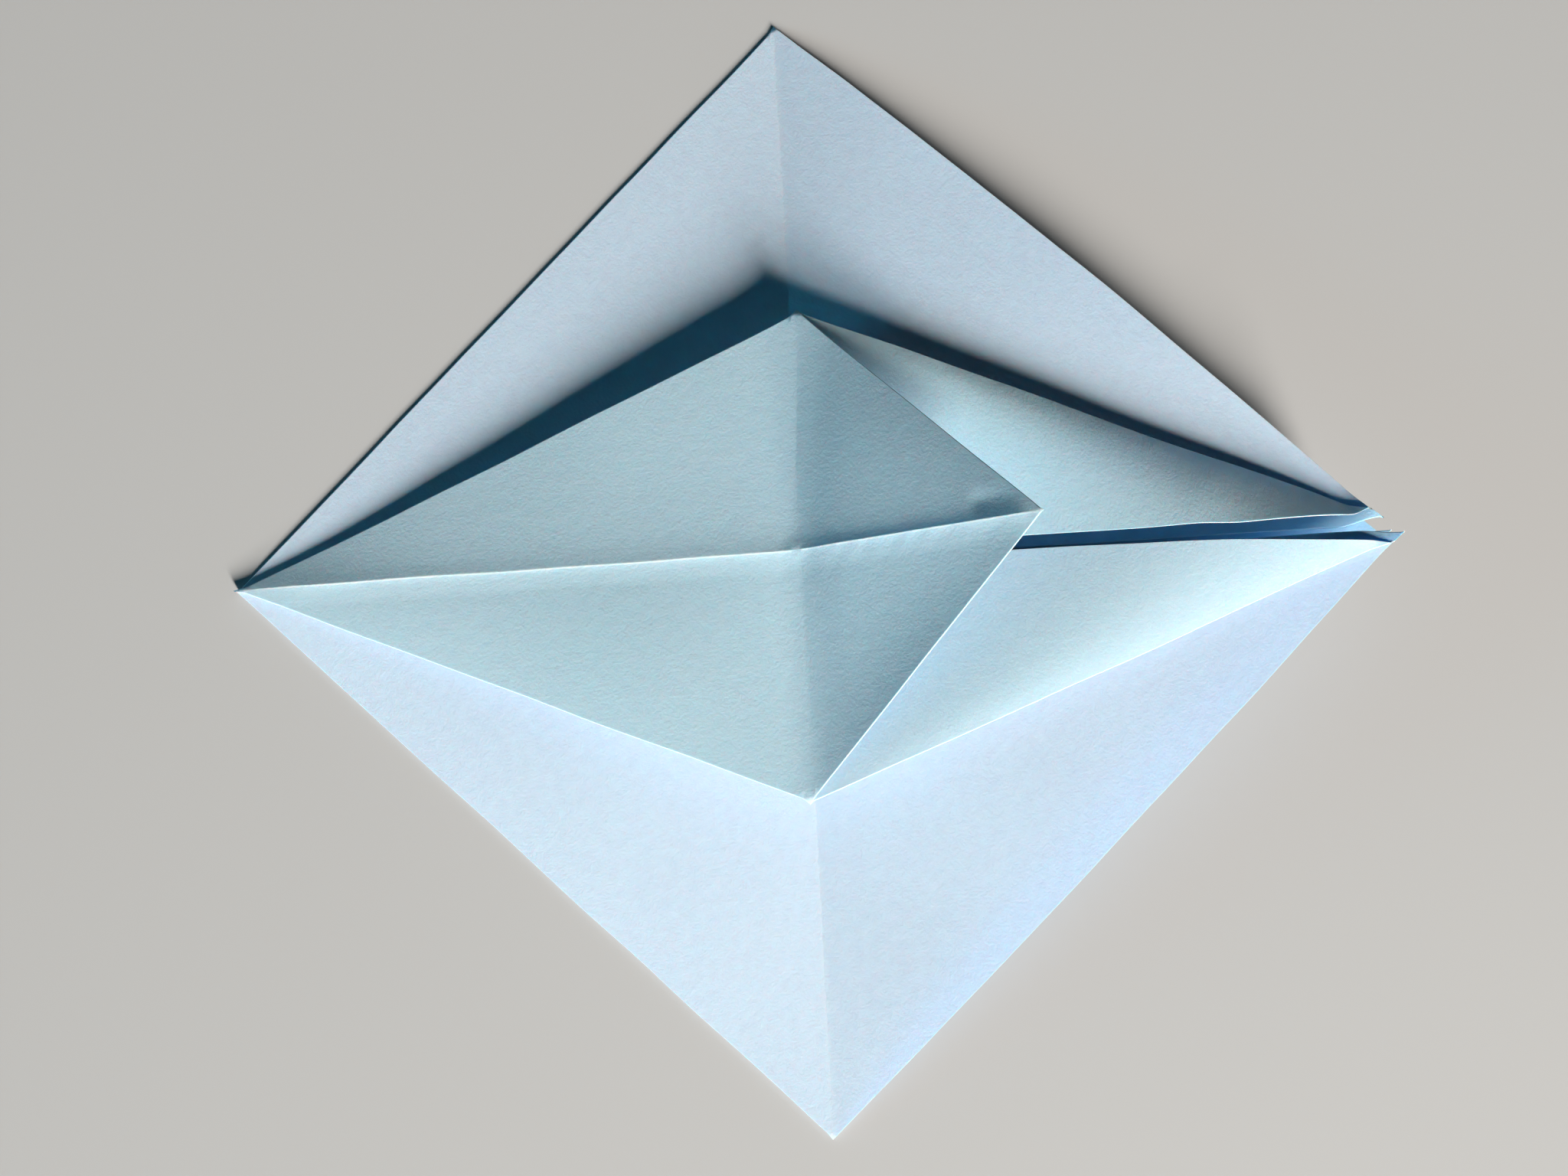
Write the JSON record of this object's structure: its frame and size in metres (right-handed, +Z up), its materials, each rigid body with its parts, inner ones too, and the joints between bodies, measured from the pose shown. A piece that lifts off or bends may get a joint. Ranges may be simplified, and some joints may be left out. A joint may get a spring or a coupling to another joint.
{
  "type": "half-folded origami bellflower",
  "caption": "Pale blue paper square folded to a square base, with a flap squashed and petal-folded to a raised point: the petal-fold stage of an origami bellflower.",
  "frame": {"origin": "on the table under the middle of the folded square, halfway between its closed corner and its open corners", "axes": "+Z up from the table, +X from the closed corner to the open corners, +Y to the corner beside the upper flap"},
  "size_m": [0.1057, 0.106, 0.0192],
  "materials": {
    "pale_blue_paper": "matt, dyed through, fine fibre grain"
  },
  "bodies": {
    "root": {"folded_sheet": "pale_blue_paper"}
  },
  "joints": []
}
